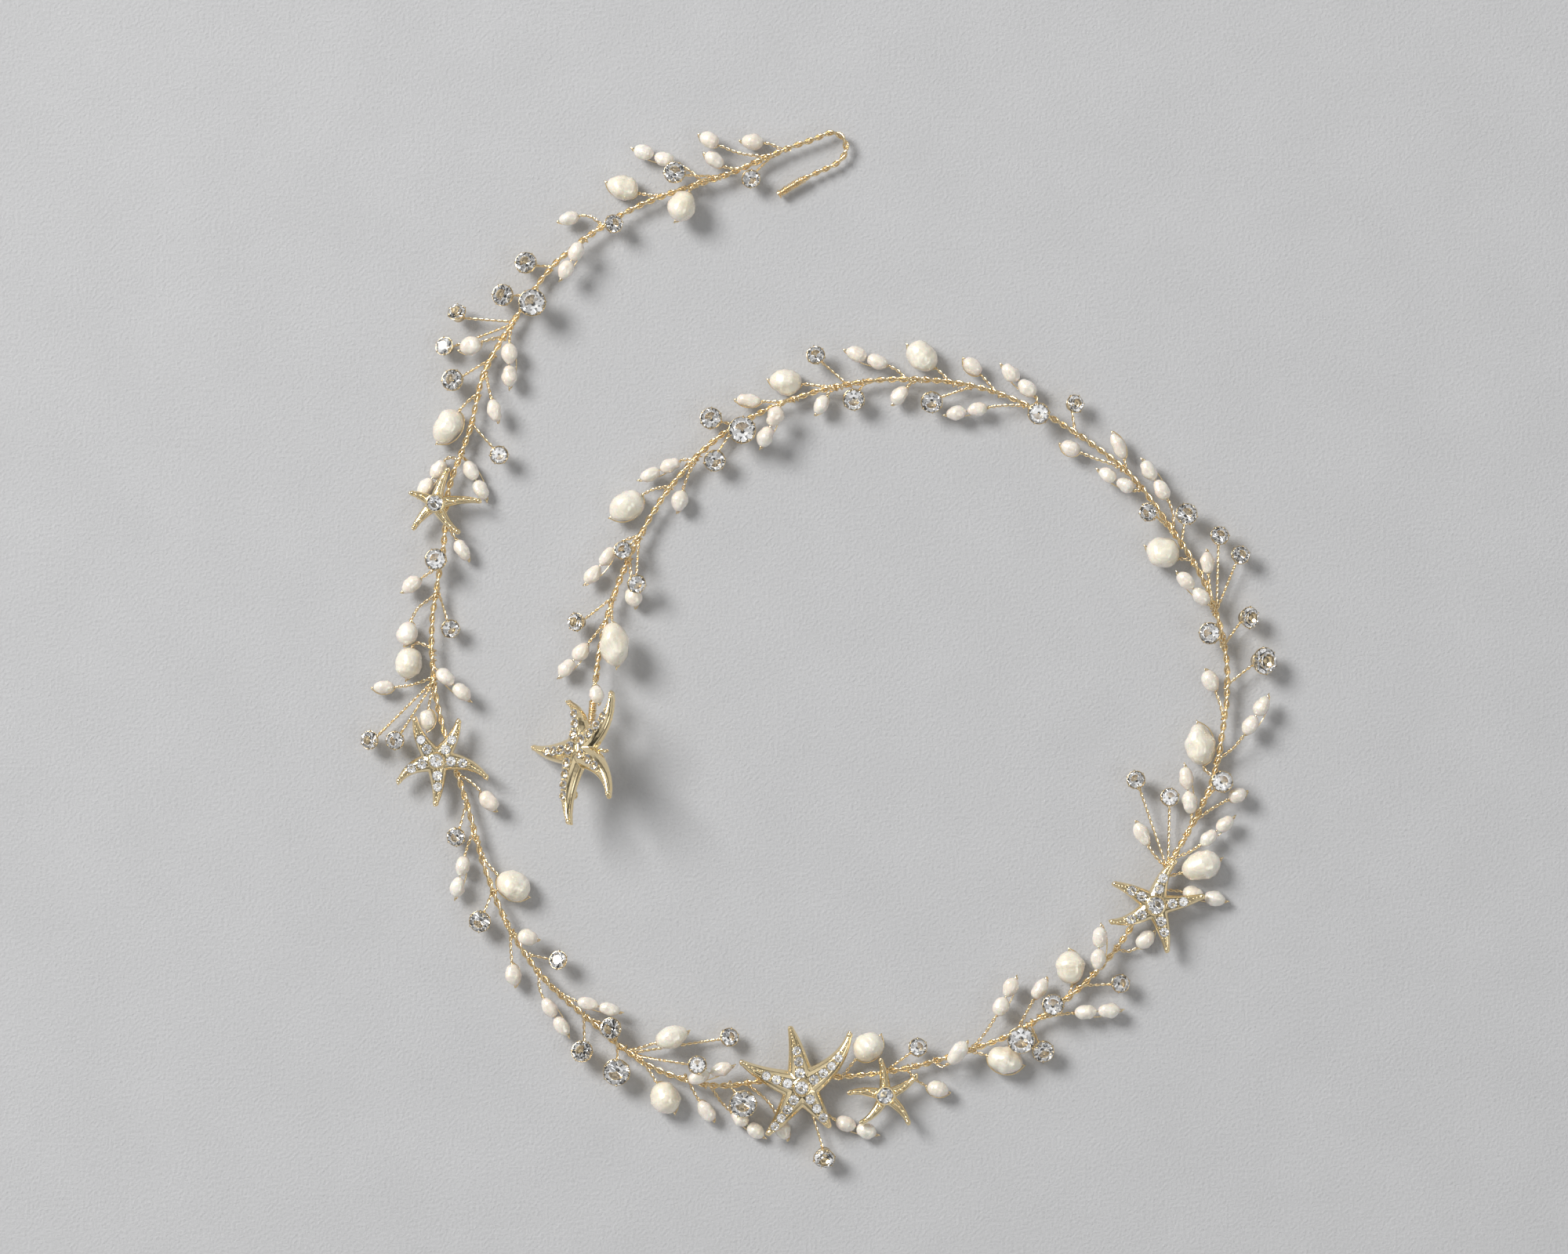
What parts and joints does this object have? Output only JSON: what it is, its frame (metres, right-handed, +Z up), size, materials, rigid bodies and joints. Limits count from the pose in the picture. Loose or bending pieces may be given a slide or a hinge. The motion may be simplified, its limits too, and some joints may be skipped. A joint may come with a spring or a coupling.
{
  "type": "hair vine",
  "caption": "Long gilt wire hair vine with freshwater pearls, cut stones in cups and starfish on short side wires, hooked at one end and laid in an open coil.",
  "frame": {"origin": "on the surface that the vine lies on, below the middle of its bounding box", "axes": "+Z up from the surface, +Y towards the hooked end, +X to the right of the coil"},
  "size_m": [0.1982, 0.225, 0.0207],
  "materials": {
    "gilt_wire": "polished gold plate",
    "gilt_casting": "polished pale gold plate",
    "rice_pearl": "nacre, warm cream to pink",
    "large_pearl": "nacre, cream",
    "crystal": "clear, foiled back"
  },
  "bodies": {
    "root": {"wire": "gilt_wire", "rice_pearls": "rice_pearl", "rice_pearl_pairs": "rice_pearl", "large_pearl_1": "large_pearl", "large_pearl_2": "large_pearl", "large_pearl_3": "large_pearl", "large_pearl_4": "large_pearl", "large_pearl_5": "large_pearl", "large_pearl_6": "large_pearl", "large_pearl_7": "large_pearl", "large_pearl_8": "large_pearl", "large_pearl_9": "large_pearl", "large_pearl_10": "large_pearl", "large_pearl_11": "large_pearl", "large_pearl_12": "large_pearl", "large_pearl_13": "large_pearl", "large_pearl_14": "large_pearl", "large_pearl_15": "large_pearl", "large_pearl_16": "large_pearl", "large_pearl_17": "large_pearl", "small_stones": "crystal", "medium_stones": "crystal", "large_stone_1": "crystal", "large_stone_2": "crystal", "large_stone_3": "crystal", "large_stone_4": "crystal", "large_stone_5": "crystal", "large_stone_6": "crystal", "starfish_stones_1": "crystal", "starfish_stones_2": "crystal", "starfish_stones_3": "crystal", "starfish_stones_4": "crystal", "starfish_stones_5": "crystal", "starfish_stones_6": "crystal", "starfish_1": "gilt_casting", "starfish_2": "gilt_casting", "starfish_3": "gilt_casting", "starfish_4": "gilt_casting", "starfish_5": "gilt_casting", "starfish_6": "gilt_casting"}
  },
  "joints": []
}
